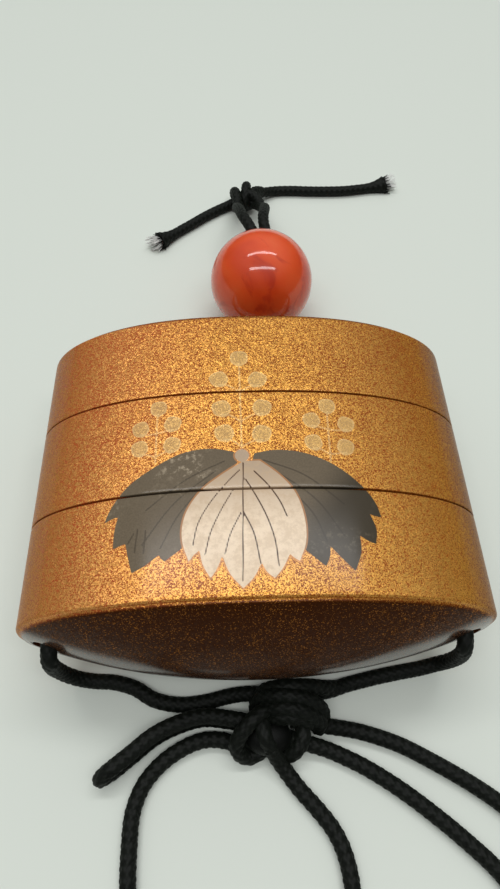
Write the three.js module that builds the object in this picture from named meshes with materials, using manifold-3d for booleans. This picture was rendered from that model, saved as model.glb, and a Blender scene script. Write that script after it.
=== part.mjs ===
// Inro case: three stacked lacquered sections on one braided cord, with a round stone bead.
// Millimetres. X runs across the case, Y along it towards the lid, Z up from the surface it lies on.
import * as THREE from 'three';
import { mergeVertices } from 'three/addons/utils/BufferGeometryUtils.js';
import Module from 'manifold-3d';

const wasm = await Module();
wasm.setup();

// Case, outside
const caseHalfWidth = 28;
const caseHalfThickness = 12.6;
const flatDepth = 0.15;
const caseMiddleZ = caseHalfThickness - flatDepth;
const widthExponent = 2.3;
const thicknessExponent = 2.2;
const sectionSegments = 48;
const bottomRimY = -19;
const lowerSeamY = -6.6;
const upperSeamY = 6.7;
const topRimY = 19;
const domeRise = 5.2;
const domeRings = [0.25, 0.5, 0.7, 0.87];
const seamGap = 0.3;

// Case, inside
const sideWall = 5.5;
const broadWall = 1.7;
const riserClearance = 0.3;
const riserWall = 0.9;
const riserHeight = 4;
const recessDepth = riserHeight + riserClearance;
const floorWall = 1.6;
const recessHalf = [caseHalfWidth - sideWall, caseHalfThickness - broadWall];
const riserHalf = recessHalf.map((half) => half - riserClearance);
const hollowHalf = riserHalf.map((half) => half - riserWall);

// Cord channels through the narrow sides
const channelX = 24.75;
const channelDiameter = 3;
const channelSides = 12;
const exitX = 24.35;

// Bead
const beadRadius = 8.75;
const beadBoreRadius = 2.5;
const beadPlace = [3.1, 42.1];
const beadTilt = (20 * Math.PI) / 180;
const beadArcSteps = 12;
const beadSides = 26;

// Cord
const cordDiameter = 2;
const cordSides = 8;
const touchGap = 0.3;
const cordLow = 1;
const bightLift = 2.4;
const strandX = 1.15;
const wrapSides = 6;
const wrapSteps = 14;
const lumpSteps = [10, 6];

// Materials
const goldLacquer = { color: 0xb9702f, roughness: 0.35, metalness: 0.35 };
const redStone = { color: 0xc8452b, roughness: 0.12, metalness: 0 };
const blackBraid = { color: 0x151715, roughness: 0.8, metalness: 0 };

function toSolid(geometry) {
  const bare = geometry.clone();
  bare.deleteAttribute('normal');
  bare.deleteAttribute('uv');
  const merged = mergeVertices(bare, 1e-4);
  const mesh = new wasm.Mesh({
    numProp: 3,
    vertProperties: new Float32Array(merged.attributes.position.array),
    triVerts: new Uint32Array(merged.index.array),
  });
  return new wasm.Manifold(mesh);
}

function toGeometry(solid) {
  const mesh = solid.getMesh();
  const geometry = new THREE.BufferGeometry();
  geometry.setAttribute('position', new THREE.BufferAttribute(mesh.vertProperties, 3));
  geometry.setIndex(new THREE.BufferAttribute(mesh.triVerts, 1));
  geometry.computeVertexNormals();
  return geometry;
}

function join(solids) {
  return solids.reduce((whole, solid) => whole.add(solid));
}

function cut(solid, tools) {
  return tools.reduce((rest, tool) => rest.subtract(tool), solid);
}

// A turned form whose round section is stretched to the case's superellipse.
// The profile is a list of [share of the half width, y].
function caseForm(profile, [halfWidth, halfThickness]) {
  const outline = profile.map(([share, y]) => new THREE.Vector2(share, y));
  const geometry = new THREE.LatheGeometry(outline, sectionSegments);
  const position = geometry.attributes.position;
  for (let i = 0; i < position.count; i += 1) {
    const share = Math.hypot(position.getX(i), position.getZ(i));
    const angle = Math.atan2(position.getZ(i), position.getX(i));
    const x = Math.sign(Math.cos(angle)) * Math.abs(Math.cos(angle)) ** (2 / widthExponent);
    const z = Math.sign(Math.sin(angle)) * Math.abs(Math.sin(angle)) ** (2 / thicknessExponent);
    position.setX(i, share * halfWidth * x);
    position.setZ(i, caseMiddleZ + share * halfThickness * z);
  }
  return toSolid(geometry);
}

// Profile points of a shallow dome, from its tip out to the rim; side is -1 or 1 along Y.
function domeProfile(rimY, side) {
  const shares = [0, ...domeRings, 1];
  return shares.map((share) => [share, rimY + side * domeRise * (1 - share * share)]);
}

function straightForm(startY, endY, half) {
  return caseForm([[0, startY], [1, startY], [1, endY], [0, endY]], half);
}

function channels() {
  const length = topRimY - bottomRimY + 2 * domeRise;
  const radius = channelDiameter / 2;
  return [-1, 1].map((side) => {
    const geometry = new THREE.CylinderGeometry(radius, radius, length, channelSides);
    geometry.translate(side * channelX, 0, caseMiddleZ);
    return toSolid(geometry);
  });
}

// What is taken off below the flat on which the case lies.
function belowFlat() {
  const depth = 2;
  const geometry = new THREE.BoxGeometry(3 * caseHalfWidth, 4 * topRimY, depth);
  geometry.translate(0, 0, -depth / 2);
  return toSolid(geometry);
}

const outerHalf = [caseHalfWidth, caseHalfThickness];

function bottomCase() {
  const rim = lowerSeamY - seamGap / 2;
  const wall = caseForm([...domeProfile(bottomRimY, -1), [1, rim], [0, rim]], outerHalf);
  const riser = straightForm(rim - riserHeight, lowerSeamY + riserHeight, riserHalf);
  const floor = domeProfile(bottomRimY + floorWall, -1);
  const mouth = lowerSeamY + riserHeight + 1;
  const hollow = caseForm([...floor, [1, mouth], [0, mouth]], hollowHalf);
  return cut(join([wall, riser]), [hollow, ...channels(), belowFlat()]);
}

function middleCase() {
  const near = lowerSeamY + seamGap / 2;
  const far = upperSeamY - seamGap / 2;
  const wall = straightForm(near, far, outerHalf);
  const riser = straightForm(far - riserHeight, upperSeamY + riserHeight, riserHalf);
  const recess = straightForm(near - 1, lowerSeamY + recessDepth, recessHalf);
  const floorTop = lowerSeamY + recessDepth + floorWall;
  const hollow = straightForm(floorTop, upperSeamY + riserHeight + 1, hollowHalf);
  return cut(join([wall, riser]), [recess, hollow, ...channels(), belowFlat()]);
}

function lid() {
  const near = upperSeamY + seamGap / 2;
  const outline = [[0, near], [1, near], ...domeProfile(topRimY, 1).reverse()];
  const wall = caseForm(outline, outerHalf);
  const recess = straightForm(near - 1, upperSeamY + recessDepth, recessHalf);
  const ceiling = domeProfile(topRimY - floorWall, 1).reverse();
  const hollow = caseForm([[0, near - 1], [1, near - 1], ...ceiling], hollowHalf);
  return cut(wall, [recess, hollow, ...channels(), belowFlat()]);
}

// The bead: a ball turned about its bore, as one closed profile. It has rolled so that the bore's
// near mouth looks down.
function bead() {
  const boreAngle = Math.asin(beadBoreRadius / beadRadius);
  const profile = [];
  for (let i = 0; i <= beadArcSteps; i += 1) {
    const angle = boreAngle + ((Math.PI - 2 * boreAngle) * i) / beadArcSteps;
    profile.push(new THREE.Vector2(beadRadius * Math.sin(angle), -beadRadius * Math.cos(angle)));
  }
  profile.push(profile[0].clone());
  const geometry = new THREE.LatheGeometry(profile, beadSides);
  geometry.rotateX(beadTilt);
  geometry.translate(beadPlace[0], beadPlace[1], beadRadius);
  return toSolid(geometry);
}

// A cord's route keeps one step of the tube for each stretch between two of its points.
class CordRoute extends THREE.CatmullRomCurve3 {
  getUtoTmapping(share) {
    return share;
  }
}

function cordTube(points) {
  const section = new THREE.Shape();
  section.absarc(0, 0, cordDiameter / 2, 0, 2 * Math.PI);
  const route = new CordRoute(points.map((point) => new THREE.Vector3(...point)));
  const options = { curveSegments: cordSides / 2, steps: points.length - 1, extrudePath: route };
  return toSolid(new THREE.ExtrudeGeometry(section, options));
}

// The largest body of a cut solid, so that no crumb stays where a strand runs into its knot.
function largest(solid) {
  return solid.decompose().reduce((best, piece) => (piece.volume() > best.volume() ? piece : best));
}

function ball(place, half, grow) {
  const geometry = new THREE.SphereGeometry(1, ...lumpSteps);
  geometry.scale(...half.map((size) => size + grow));
  geometry.translate(...place);
  return toSolid(geometry);
}

// One turn of cord round a knot. Half gives the turn's outer half sizes, and turn its heading about Z.
function wrap(place, [halfAcross, halfUp], turn, grow) {
  const cordRadius = cordDiameter / 2;
  const turnRadius = halfAcross - cordRadius;
  const geometry = new THREE.TorusGeometry(turnRadius, cordRadius + grow, wrapSides, wrapSteps);
  geometry.scale(1, (halfUp + grow) / (halfAcross + grow), 1);
  geometry.rotateX(Math.PI / 2);
  geometry.rotateZ(turn);
  geometry.translate(...place);
  return toSolid(geometry);
}

// The bow's knot: an upper lump of turns that run left to right, and a lower one of slanted turns.
function bowKnot(grow) {
  return join([
    ball([4.0, -25.6, 3.1], [3.7, 2.2, 2.9], grow),
    wrap([4.1, -24.4, 2.9], [4.2, 2.7], 0.03, grow),
    wrap([4.0, -25.6, 3.2], [4.3, 3.2], -0.08, grow),
    wrap([3.9, -27.0, 3.0], [4.0, 2.9], -0.12, grow),
    ball([1.0, -29.2, 2.7], [3.5, 2.5, 2.5], grow),
    wrap([-0.6, -28.6, 2.8], [3.6, 2.8], 0.81, grow),
    wrap([1.2, -29.6, 2.7], [2.8, 2.6], -1.18, grow),
    wrap([4.0, -29.4, 2.3], [2.6, 2.2], 1.25, grow),
  ]);
}

function topKnot(grow) {
  return join([
    ball([1.4, 71.8, 2.6], [2.5, 2.5, 2.3], grow),
    wrap([-0.2, 71.3, 2.5], [2.7, 2.4], 1.75, grow),
    wrap([1.8, 72.4, 2.6], [2.6, 2.5], 1.45, grow),
  ]);
}

// A place on a strand in the bead's bore; side is -1 or 1, along is measured from the bead's middle.
function inBore(side, along) {
  const [x, y] = beadPlace;
  return [x + side * strandX, y + along * Math.cos(beadTilt), beadRadius + along * Math.sin(beadTilt)];
}

// Routes of the cord. Each begins inside a knot, where the knot is cut out of it.
const boreSteps = [9, 4.5, 0, -4.5, -9];

const leftRoute = [
  [0.4, 70.6, 2.7], [-0.4, 68.2, 3.7], [-0.6, 65.8, 5.4], [-0.5, 63.2, 7.4], [-0.3, 60.4, 9.4],
  [-0.1, 57.6, 11.0], [0.3, 54.9, 12.1], [1.2, 52.5, 12.3],
  ...boreSteps.map((along) => inBore(-1, along)),
  [1.8, 31.9, 4.6], [0.9, 30.4, 3.2], [-1.0, 29.2, 2.0], [-4.0, 28.3, 1.2], [-8.0, 27.8, cordLow],
  [-12.5, 27.2, cordLow], [-17.0, 26.2, 1.5], [-20.6, 25.0, 3.6], [-23.0, 23.8, 6.6], [-24.2, 22.8, 9.6],
  [-24.5, 21.9, 11.6], [-24.7, 20.7, 12.4], [-channelX, 18.6, caseMiddleZ], [-channelX, 0.0, caseMiddleZ],
  [-24.5, -17.8, caseMiddleZ], [-exitX, -20.4, 12.4], [-exitX, -21.3, 11.9], [-24.4, -21.6, 10.9],
  [-24.6, -21.5, 9.4], [-24.8, -21.4, 7.6], [-24.7, -21.3, 5.4], [-24.1, -21.4, 3.3], [-22.8, -21.6, 1.7],
  [-21.0, -21.8, cordLow], [-18.7, -22.0, cordLow], [-15.9, -22.8, cordLow], [-13.3, -24.3, cordLow],
  [-10.1, -25.0, cordLow], [-6.9, -24.8, cordLow], [-3.7, -24.2, 1.2], [-1.4, -24.1, 1.9], [0.8, -24.5, 2.8],
];

const rightRoute = [
  [2.5, 71.0, 2.6], [3.5, 69.8, 3.0], [4.2, 68.0, 3.9], [4.6, 65.8, 5.4], [4.7, 63.2, 7.4],
  [4.5, 60.4, 9.4], [4.2, 57.6, 11.0], [3.9, 55.0, 12.1], [3.9, 52.6, 12.3],
  ...boreSteps.map((along) => inBore(1, along)),
  [4.5, 31.9, 4.6], [5.5, 30.4, 3.2], [7.4, 29.2, 2.0], [10.4, 28.3, 1.2], [14.0, 27.6, cordLow],
  [17.4, 26.7, 1.3], [20.6, 25.2, 3.4], [23.0, 24.0, 6.5], [24.2, 22.9, 9.5], [24.5, 22.0, 11.5],
  [24.7, 20.7, 12.4], [channelX, 18.6, caseMiddleZ], [channelX, 0.0, caseMiddleZ],
  [24.5, -17.8, caseMiddleZ], [exitX, -20.4, 12.4], [24.3, -21.3, 11.8], [24.5, -21.5, 10.6],
  [24.8, -21.5, 9.0], [25.0, -21.4, 7.2], [25.0, -21.3, 5.3], [24.6, -21.2, 3.3], [23.5, -21.2, 1.8],
  [21.5, -21.5, cordLow], [18.8, -21.9, cordLow], [16.3, -22.3, cordLow], [13.7, -22.8, cordLow],
  [11.4, -23.3, 1.1], [9.3, -24.0, 1.9], [7.2, -24.4, 2.6],
];

const bightShape = [
  [-3.5, -27.2], [-6.9, -26.8], [-9.8, -27.4], [-12.9, -28.7], [-15.8, -30.8], [-18.0, -32.4],
];
const bightTip = [[-18.9, -33.0, 0.6], [-19.2, -33.2, 1.2], [-18.9, -33.0, 1.8]];
const bightRoute = [
  [-0.6, -27.8, 1.5],
  ...bightShape.map(([x, y]) => [x, y, cordLow]),
  ...bightTip.map(([x, y, lift]) => [x, y, cordLow + lift]),
  ...bightShape.map(([x, y]) => [x, y, cordLow + bightLift]).reverse(),
  [-0.6, -27.8, 3.4],
];

const loopRoute = [
  [4.0, -27.6, 3.2], [6.4, -27.8, 2.6], [8.6, -28.2, 1.6], [10.8, -28.5, cordLow], [13.0, -29.0, cordLow],
  [17.3, -30.5, cordLow], [21.3, -32.6, cordLow], [25.3, -35.0, cordLow], [28.4, -37.2, cordLow],
  [33.2, -41.4, cordLow], [38.2, -46.6, cordLow], [42.0, -51.8, cordLow], [43.2, -56.6, cordLow],
  [40.4, -60.0, cordLow], [36.0, -59.2, cordLow], [32.8, -54.8, cordLow], [30.0, -49.2, cordLow],
  [26.8, -44.1, cordLow], [23.9, -41.2, cordLow], [20.3, -38.1, cordLow], [16.6, -35.3, cordLow],
  [12.8, -32.9, cordLow], [10.4, -31.7, cordLow], [8.3, -30.8, 1.1], [5.9, -30.1, 1.6], [3.7, -29.5, 2.2],
];

const tailRoute = [
  [1.2, -30.6, 3.4], [2.0, -31.7, 2.2], [3.1, -33.1, 1.3], [4.6, -35.0, cordLow], [6.6, -37.2, cordLow],
  [8.3, -39.4, cordLow], [9.3, -41.7, cordLow], [9.8, -45.2, cordLow], [9.3, -50.6, cordLow],
  [7.2, -56.0, cordLow], [3.2, -60.2, cordLow], [-2.4, -62.0, cordLow], [-8.2, -60.4, cordLow],
  [-12.4, -56.0, cordLow], [-14.6, -50.4, cordLow], [-15.4, -44.2, cordLow], [-15.5, -40.6, cordLow],
  [-15.3, -36.8, cordLow], [-14.4, -34.3, cordLow], [-13.4, -32.9, cordLow], [-11.9, -31.5, cordLow],
  [-10.2, -30.4, cordLow], [-8.4, -29.6, cordLow], [-6.6, -29.2, cordLow], [-4.8, -29.3, cordLow],
  [-3.1, -29.7, 1.2], [-0.6, -29.7, 2.0],
];

const endLeftRoute = [
  [0.6, 72.6, 2.2], [-0.8, 72.8, 1.4], [-2.4, 72.1, cordLow], [-4.8, 70.5, cordLow], [-7.3, 68.6, cordLow],
  [-9.5, 66.7, cordLow], [-11.9, 64.7, cordLow], [-14.0, 62.9, cordLow], [-15.9, 61.5, cordLow],
];

const endRightRoute = [
  [2.7, 73.0, 2.6], [4.6, 74.9, 1.9], [7.4, 76.6, 1.1], [11.0, 76.9, cordLow], [14.4, 76.7, cordLow],
  [18.5, 76.6, cordLow], [22.3, 76.7, cordLow], [26.0, 77.2, cordLow], [29.0, 77.8, cordLow],
  [31.2, 78.4, cordLow],
];

const nearBow = bowKnot(touchGap);
const nearTop = topKnot(touchGap);

function cordPiece(points, knots) {
  return largest(cut(cordTube(points), knots));
}

const pieces = [
  ['lid', lid(), goldLacquer],
  ['middle_case', middleCase(), goldLacquer],
  ['bottom_case', bottomCase(), goldLacquer],
  ['bead', bead(), redStone],
  ['top_knot', topKnot(0), blackBraid],
  ['bow_knot', bowKnot(0), blackBraid],
  ['cord_left', cordPiece(leftRoute, [nearTop, nearBow]), blackBraid],
  ['cord_right', cordPiece(rightRoute, [nearTop, nearBow]), blackBraid],
  ['bow_bight', cordPiece(bightRoute, [nearBow]), blackBraid],
  ['bow_loop', cordPiece(loopRoute, [nearBow]), blackBraid],
  ['tail_loop', cordPiece(tailRoute, [nearBow]), blackBraid],
  ['tail_end_left', cordPiece(endLeftRoute, [nearTop]), blackBraid],
  ['tail_end_right', cordPiece(endRightRoute, [nearTop]), blackBraid],
];

const inroCase = new THREE.Group();

for (const [name, solid, finish] of pieces) {
  const mesh = new THREE.Mesh(toGeometry(solid), new THREE.MeshStandardMaterial(finish));
  mesh.name = name;
  inroCase.add(mesh);
}

export default inroCase;
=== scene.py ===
import math
import random

import bmesh
import bpy
import numpy as np
from mathutils import Matrix, Vector


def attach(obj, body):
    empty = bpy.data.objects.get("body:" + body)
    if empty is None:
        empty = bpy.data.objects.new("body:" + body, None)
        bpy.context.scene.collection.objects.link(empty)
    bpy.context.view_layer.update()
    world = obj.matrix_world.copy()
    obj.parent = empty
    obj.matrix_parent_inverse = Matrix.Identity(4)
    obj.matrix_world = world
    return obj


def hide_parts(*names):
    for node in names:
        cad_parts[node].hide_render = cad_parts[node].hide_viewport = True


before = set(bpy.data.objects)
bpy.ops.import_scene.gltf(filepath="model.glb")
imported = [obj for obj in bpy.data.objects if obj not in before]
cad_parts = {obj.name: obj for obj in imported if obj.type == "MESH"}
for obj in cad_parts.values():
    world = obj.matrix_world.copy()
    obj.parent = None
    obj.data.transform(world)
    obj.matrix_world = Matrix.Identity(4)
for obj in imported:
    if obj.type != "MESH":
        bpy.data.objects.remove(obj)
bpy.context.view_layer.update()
print("frame loaded:", sorted(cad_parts))

mm = 0.001

# camera

cameraSetup = {
    "place": (-0.0030, -0.0388, 0.0872),
    "turnRight": 0.0625,       # radians from straight along +Y
    "lookDown": 1.0225,
    "lean": 0.0326,
    "lens": 25.5,              # on the picture's long side
    "sensor": 36.0,
}


def makeCamera(c):
    data = bpy.data.cameras.new("view_camera")
    data.lens = c["lens"]
    data.sensor_width = c["sensor"]
    data.clip_start = 0.005
    data.clip_end = 20
    camera = bpy.data.objects.new("view_camera", data)
    bpy.context.collection.objects.link(camera)
    turn = Matrix.Rotation(-c["turnRight"], 4, "Z")
    tip = Matrix.Rotation(math.pi / 2 - c["lookDown"], 4, "X")
    lean = Matrix.Rotation(c["lean"], 4, "Z")
    camera.matrix_world = Matrix.Translation(c["place"]) @ turn @ tip @ lean
    bpy.context.scene.camera = camera


makeCamera(cameraSetup)
print("camera placed")

# small helpers for materials


class Nodes:
    def __init__(self, name):
        self.material = bpy.data.materials.new(name)
        self.material.use_nodes = True
        self.tree = self.material.node_tree
        self.shader = self.tree.nodes["Principled BSDF"]

    def add(self, kind, **inputs):
        node = self.tree.nodes.new(kind)
        for key, value in inputs.items():
            if hasattr(node, key):
                setattr(node, key, value)
            else:
                self.put(node.inputs[key.replace("_", " ")], value)
        return node

    def put(self, socket, value):
        if isinstance(value, bpy.types.NodeSocket):
            self.tree.links.new(value, socket)
        else:
            socket.default_value = value

    def set(self, **inputs):
        for key, value in inputs.items():
            self.put(self.shader.inputs[key.replace("_", " ")], value)

    def place(self):
        return self.add("ShaderNodeTexCoord").outputs["Object"]

    def attribute(self, name):
        return self.add("ShaderNodeAttribute", attribute_name=name).outputs["Fac"]

    def math(self, how, a, b=0.0, c=0.0):
        node = self.add("ShaderNodeMath", operation=how)
        for socket, value in zip(node.inputs, (a, b, c)):
            self.put(socket, value)
        return node.outputs[0]

    def times(self, a, b):
        return self.math("MULTIPLY", a, b)

    def timesAdd(self, a, b, c):
        return self.math("MULTIPLY_ADD", a, b, c)

    def most(self, a, b):
        return self.math("MAXIMUM", a, b)

    def remainder(self, share):
        return self.math("SUBTRACT", 1.0, share)

    def steps(self, factor, low, high):
        node = self.add("ShaderNodeMapRange", interpolation_type="SMOOTHSTEP")
        for socket, value in zip(node.inputs, (factor, low, high, 0.0, 1.0)):
            self.put(socket, value)
        return node.outputs[0]

    def ramp(self, factor, *stops):
        node = self.add("ShaderNodeValToRGB")
        ramp = node.color_ramp
        while len(ramp.elements) < len(stops):
            ramp.elements.new(0.5)
        for element, (at, colour) in zip(ramp.elements, stops):
            element.position = at
            element.color = (*colour, 1)
        self.put(node.inputs[0], factor)
        return node.outputs[0]

    def mix(self, factor, a, b, how="MIX"):
        node = self.add("ShaderNodeMix", data_type="RGBA", blend_type=how)
        for index, value in ((0, factor), (6, a), (7, b)):
            if isinstance(value, tuple):
                value = (*value, 1)
            self.put(node.inputs[index], value)
        return node.outputs[2]

    def noise(self, place, scale, detail=3.0, roughness=0.5, distortion=0.0):
        node = self.add("ShaderNodeTexNoise")
        for key, value in (("Vector", place), ("Scale", scale), ("Detail", detail),
                           ("Roughness", roughness), ("Distortion", distortion)):
            self.put(node.inputs[key], value)
        return node.outputs[0]

    def cells(self, place, scale):
        return self.add("ShaderNodeTexVoronoi", Vector=place, Scale=scale)

    def bump(self, height, depth, strength=1.0):
        node = self.add("ShaderNodeBump", Height=height, Distance=depth, Strength=strength)
        return node.outputs[0]


# mesh helpers


def gridSkin(name, columns, rows, shape, layers=None, weld=1e-7):
    bm = bmesh.new()
    bm.loops.layers.uv.new("wrap")
    bmesh.ops.create_grid(bm, x_segments=columns, y_segments=rows, size=0.5, calc_uvs=True)
    mesh = bpy.data.meshes.new(name)
    bm.to_mesh(mesh)
    bm.free()
    flat = np.zeros(len(mesh.vertices) * 3)
    mesh.vertices.foreach_get("co", flat)
    flat = flat.reshape(-1, 3)
    around = np.rint((flat[:, 0] + 0.5) * columns).astype(int)
    along = np.rint((flat[:, 1] + 0.5) * rows).astype(int)
    placed = shape(around, along)
    mesh.vertices.foreach_set("co", placed.ravel())
    for layer, values in (layers or {}).items():
        data = mesh.attributes.new(layer, "FLOAT", "POINT").data
        data.foreach_set("value", values(around, along).astype(np.float32))
    bm = bmesh.new()
    bm.from_mesh(mesh)
    bmesh.ops.remove_doubles(bm, verts=bm.verts, dist=weld)
    ends = [edge for edge in bm.edges if edge.is_boundary]
    if ends:
        bmesh.ops.holes_fill(bm, edges=ends)
    bmesh.ops.recalc_face_normals(bm, faces=bm.faces)
    bm.to_mesh(mesh)
    bm.free()
    mesh.shade_smooth()
    piece = bpy.data.objects.new(name, mesh)
    bpy.context.collection.objects.link(piece)
    return piece


def joinPieces(name, parts):
    bm = bmesh.new()
    for part in parts:
        bm.from_mesh(part.data)
    mesh = bpy.data.meshes.new(name)
    bm.to_mesh(mesh)
    bm.free()
    mesh.shade_smooth()
    for part in parts:
        bpy.data.objects.remove(part)
    piece = bpy.data.objects.new(name, mesh)
    bpy.context.collection.objects.link(piece)
    return piece


# the cord

cord = {
    "diameter": 0.0020,
    "around": 36,
    "ringStep": 0.00017,
    "stitchesRound": 6,        # strands that turn each way round the braid
    "stitchLength": 0.0011,
    "relief": 0.00022,
    "flare": 0.95,             # how much wider the braid opens at a frayed end
    "flareLength": 0.0042,
}

beadRadius = 0.00875
beadPlace = (0.0031, 0.0421, beadRadius)
beadTilt = math.radians(20)    # the bore's near mouth looks down
beadFleck = (0.0037, 0.0049, 0.0063)    # a dark fleck in the stone, from its middle
strandX = 0.00115
boreSteps = [0.009, 0.0045, 0.0, -0.0045, -0.009]


def inBore(side, along):
    # a place on a strand in the bead's bore
    x, y, z = beadPlace
    return (x + side * strandX, y + along * math.cos(beadTilt), z + along * math.sin(beadTilt))


endLeftRoute = [
    (0.0006, 0.0726, 0.0022), (-0.0008, 0.0728, 0.0014), (-0.0024, 0.0721, 0.001),
    (-0.0048, 0.0705, 0.001), (-0.0073, 0.0686, 0.001), (-0.0095, 0.0667, 0.001),
    (-0.0119, 0.0647, 0.001), (-0.014, 0.0629, 0.001), (-0.0159, 0.0615, 0.001),
]
leftRoute = [
    (0.0004, 0.0706, 0.0027), (-0.0004, 0.0682, 0.0037), (-0.0006, 0.0658, 0.0054),
    (-0.0005, 0.0632, 0.0074), (-0.0003, 0.0604, 0.0094), (-0.0001, 0.0576, 0.011),
    (0.0003, 0.0549, 0.0121), (0.0012, 0.0525, 0.0123),
    *[inBore(-1, along) for along in boreSteps],
    (0.0018, 0.0319, 0.0046), (0.0009, 0.0304, 0.0032), (-0.001, 0.0292, 0.002),
    (-0.004, 0.0283, 0.0012), (-0.008, 0.0278, 0.001), (-0.0125, 0.0272, 0.001),
    (-0.017, 0.0262, 0.0015), (-0.0206, 0.025, 0.0036), (-0.023, 0.0238, 0.0066),
    (-0.0242, 0.0228, 0.0096), (-0.0245, 0.0219, 0.0116), (-0.0247, 0.0207, 0.0124),
    (-0.02475, 0.0186, 0.01245), (-0.02475, 0.0, 0.01245), (-0.0245, -0.0178, 0.01245),
    (-0.02435, -0.0204, 0.0124), (-0.02435, -0.0213, 0.0119), (-0.0244, -0.0216, 0.0109),
    (-0.0246, -0.0215, 0.0094), (-0.0248, -0.0214, 0.0076), (-0.0247, -0.0213, 0.0054),
    (-0.0241, -0.0214, 0.0033), (-0.0228, -0.0216, 0.0017), (-0.021, -0.0218, 0.001),
    (-0.0187, -0.022, 0.001), (-0.0159, -0.0228, 0.001), (-0.0133, -0.0243, 0.001),
    (-0.0101, -0.025, 0.001), (-0.0069, -0.0248, 0.001), (-0.0037, -0.0242, 0.0012),
    (-0.0014, -0.0241, 0.0019), (0.0008, -0.0245, 0.0028),
]
endRightRoute = [
    (0.0027, 0.073, 0.0026), (0.0046, 0.0749, 0.0019), (0.0074, 0.0766, 0.0011),
    (0.011, 0.0769, 0.001),
    (0.0144, 0.0767, 0.001), (0.0185, 0.0766, 0.001), (0.0223, 0.0767, 0.001),
    (0.026, 0.0772, 0.001),
    (0.029, 0.0778, 0.001), (0.0312, 0.0784, 0.001),
]
rightRoute = [
    (0.0025, 0.071, 0.0026), (0.0035, 0.0698, 0.003), (0.0042, 0.068, 0.0039),
    (0.0046, 0.0658, 0.0054), (0.0047, 0.0632, 0.0074), (0.0045, 0.0604, 0.0094),
    (0.0042, 0.0576, 0.011), (0.0039, 0.055, 0.0121), (0.0039, 0.0526, 0.0123),
    *[inBore(1, along) for along in boreSteps],
    (0.0045, 0.0319, 0.0046), (0.0055, 0.0304, 0.0032), (0.0074, 0.0292, 0.002),
    (0.0104, 0.0283, 0.0012), (0.014, 0.0276, 0.001), (0.0174, 0.0267, 0.0013),
    (0.0206, 0.0252, 0.0034), (0.023, 0.024, 0.0065), (0.0242, 0.0229, 0.0095),
    (0.0245, 0.022, 0.0115),
    (0.0247, 0.0207, 0.0124), (0.02475, 0.0186, 0.01245), (0.02475, 0.0, 0.01245),
    (0.0245, -0.0178, 0.01245), (0.02435, -0.0204, 0.0124), (0.0243, -0.0213, 0.0118),
    (0.0245, -0.0215, 0.0106), (0.0248, -0.0215, 0.009), (0.025, -0.0214, 0.0072),
    (0.025, -0.0213, 0.0053), (0.0246, -0.0212, 0.0033), (0.0235, -0.0212, 0.0018),
    (0.0215, -0.0215, 0.001), (0.0188, -0.0219, 0.001), (0.0163, -0.0223, 0.001),
    (0.0137, -0.0228, 0.001), (0.0114, -0.0233, 0.0011), (0.0093, -0.024, 0.0019),
    (0.0072, -0.0244, 0.0026),
]
bightRoute = [
    (-0.0006, -0.0278, 0.0015), (-0.0035, -0.0272, 0.001), (-0.0069, -0.0268, 0.001),
    (-0.0098, -0.0274, 0.001), (-0.0129, -0.0287, 0.001), (-0.0158, -0.0308, 0.001),
    (-0.018, -0.0324, 0.001), (-0.0189, -0.033, 0.0016), (-0.0192, -0.0332, 0.0022),
    (-0.0189, -0.033, 0.0028), (-0.018, -0.0324, 0.0034), (-0.0158, -0.0308, 0.0034),
    (-0.0129, -0.0287, 0.0034), (-0.0098, -0.0274, 0.0034), (-0.0069, -0.0268, 0.0034),
    (-0.0035, -0.0272, 0.0034), (-0.0006, -0.0278, 0.0034),
]
loopRoute = [
    (0.004, -0.0276, 0.0032), (0.0064, -0.0278, 0.0026), (0.0086, -0.0282, 0.0016),
    (0.0108, -0.0285, 0.001), (0.013, -0.029, 0.001), (0.0173, -0.0305, 0.001),
    (0.0213, -0.0326, 0.001), (0.0253, -0.035, 0.001), (0.0284, -0.0372, 0.001),
    (0.0332, -0.0414, 0.001), (0.0382, -0.0466, 0.001), (0.042, -0.0518, 0.001),
    (0.0432, -0.0566, 0.001), (0.0404, -0.06, 0.001), (0.036, -0.0592, 0.001),
    (0.0328, -0.0548, 0.001),
    (0.03, -0.0492, 0.001), (0.0268, -0.0441, 0.001), (0.0239, -0.0412, 0.001),
    (0.0203, -0.0381, 0.001), (0.0166, -0.0353, 0.001), (0.0128, -0.0329, 0.001),
    (0.0104, -0.0317, 0.001), (0.0083, -0.0308, 0.0011), (0.0059, -0.0301, 0.0016),
    (0.0037, -0.0295, 0.0022),
]
tailRoute = [
    (0.0012, -0.0306, 0.0034), (0.002, -0.0317, 0.0022), (0.0031, -0.0331, 0.0013),
    (0.0046, -0.035, 0.001), (0.0066, -0.0372, 0.001), (0.0083, -0.0394, 0.001),
    (0.0093, -0.0417, 0.001), (0.0098, -0.0452, 0.001), (0.0093, -0.0506, 0.001),
    (0.0072, -0.056, 0.001), (0.0032, -0.0602, 0.001), (-0.0024, -0.062, 0.001),
    (-0.0082, -0.0604, 0.001), (-0.0124, -0.056, 0.001), (-0.0146, -0.0504, 0.001),
    (-0.0154, -0.0442, 0.001), (-0.0155, -0.0406, 0.001), (-0.0153, -0.0368, 0.001),
    (-0.0144, -0.0343, 0.001), (-0.0134, -0.0329, 0.001), (-0.0119, -0.0315, 0.001),
    (-0.0102, -0.0304, 0.001), (-0.0084, -0.0296, 0.001), (-0.0066, -0.0292, 0.001),
    (-0.0048, -0.0293, 0.001), (-0.0031, -0.0297, 0.0012), (-0.0006, -0.0297, 0.002),
]


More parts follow.
